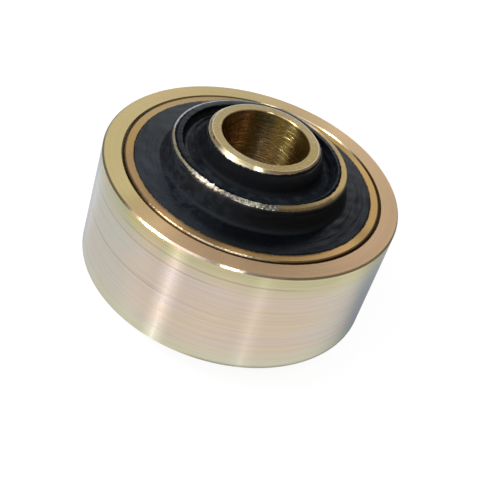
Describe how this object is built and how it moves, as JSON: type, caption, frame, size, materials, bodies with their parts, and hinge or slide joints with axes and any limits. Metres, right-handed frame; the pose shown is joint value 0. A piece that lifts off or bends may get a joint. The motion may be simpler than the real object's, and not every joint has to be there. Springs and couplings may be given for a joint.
{
  "type": "rubber metal bush",
  "caption": "Two-stage bonded rubber bush: a thick steel ring, pressed-in sleeve, middle sleeve and bolt tube, all concentric, with rubber between them.",
  "frame": {"origin": "on the axis at mid-length, which is the centre of the bore and of the bounding box", "axes": "+Z along the axis of the bore; the bush is the same at both ends and all round"},
  "size_m": [0.07, 0.07, 0.0488],
  "materials": {
    "ring_plating": "fine turned steel, pale yellow passivated zinc",
    "sleeve_plating": "cut steel sleeve edge, golden passivated zinc",
    "tube_plating": "turned steel, golden passivated zinc, tool marks in the bore",
    "rubber": "matt moulded black rubber with a faint grey bloom"
  },
  "bodies": {
    "root": {"outer_ring": "ring_plating", "outer_sleeve": "sleeve_plating", "outer_rubber": "rubber", "middle_sleeve": "sleeve_plating", "inner_rubber": "rubber", "inner_tube": "tube_plating"}
  },
  "joints": []
}
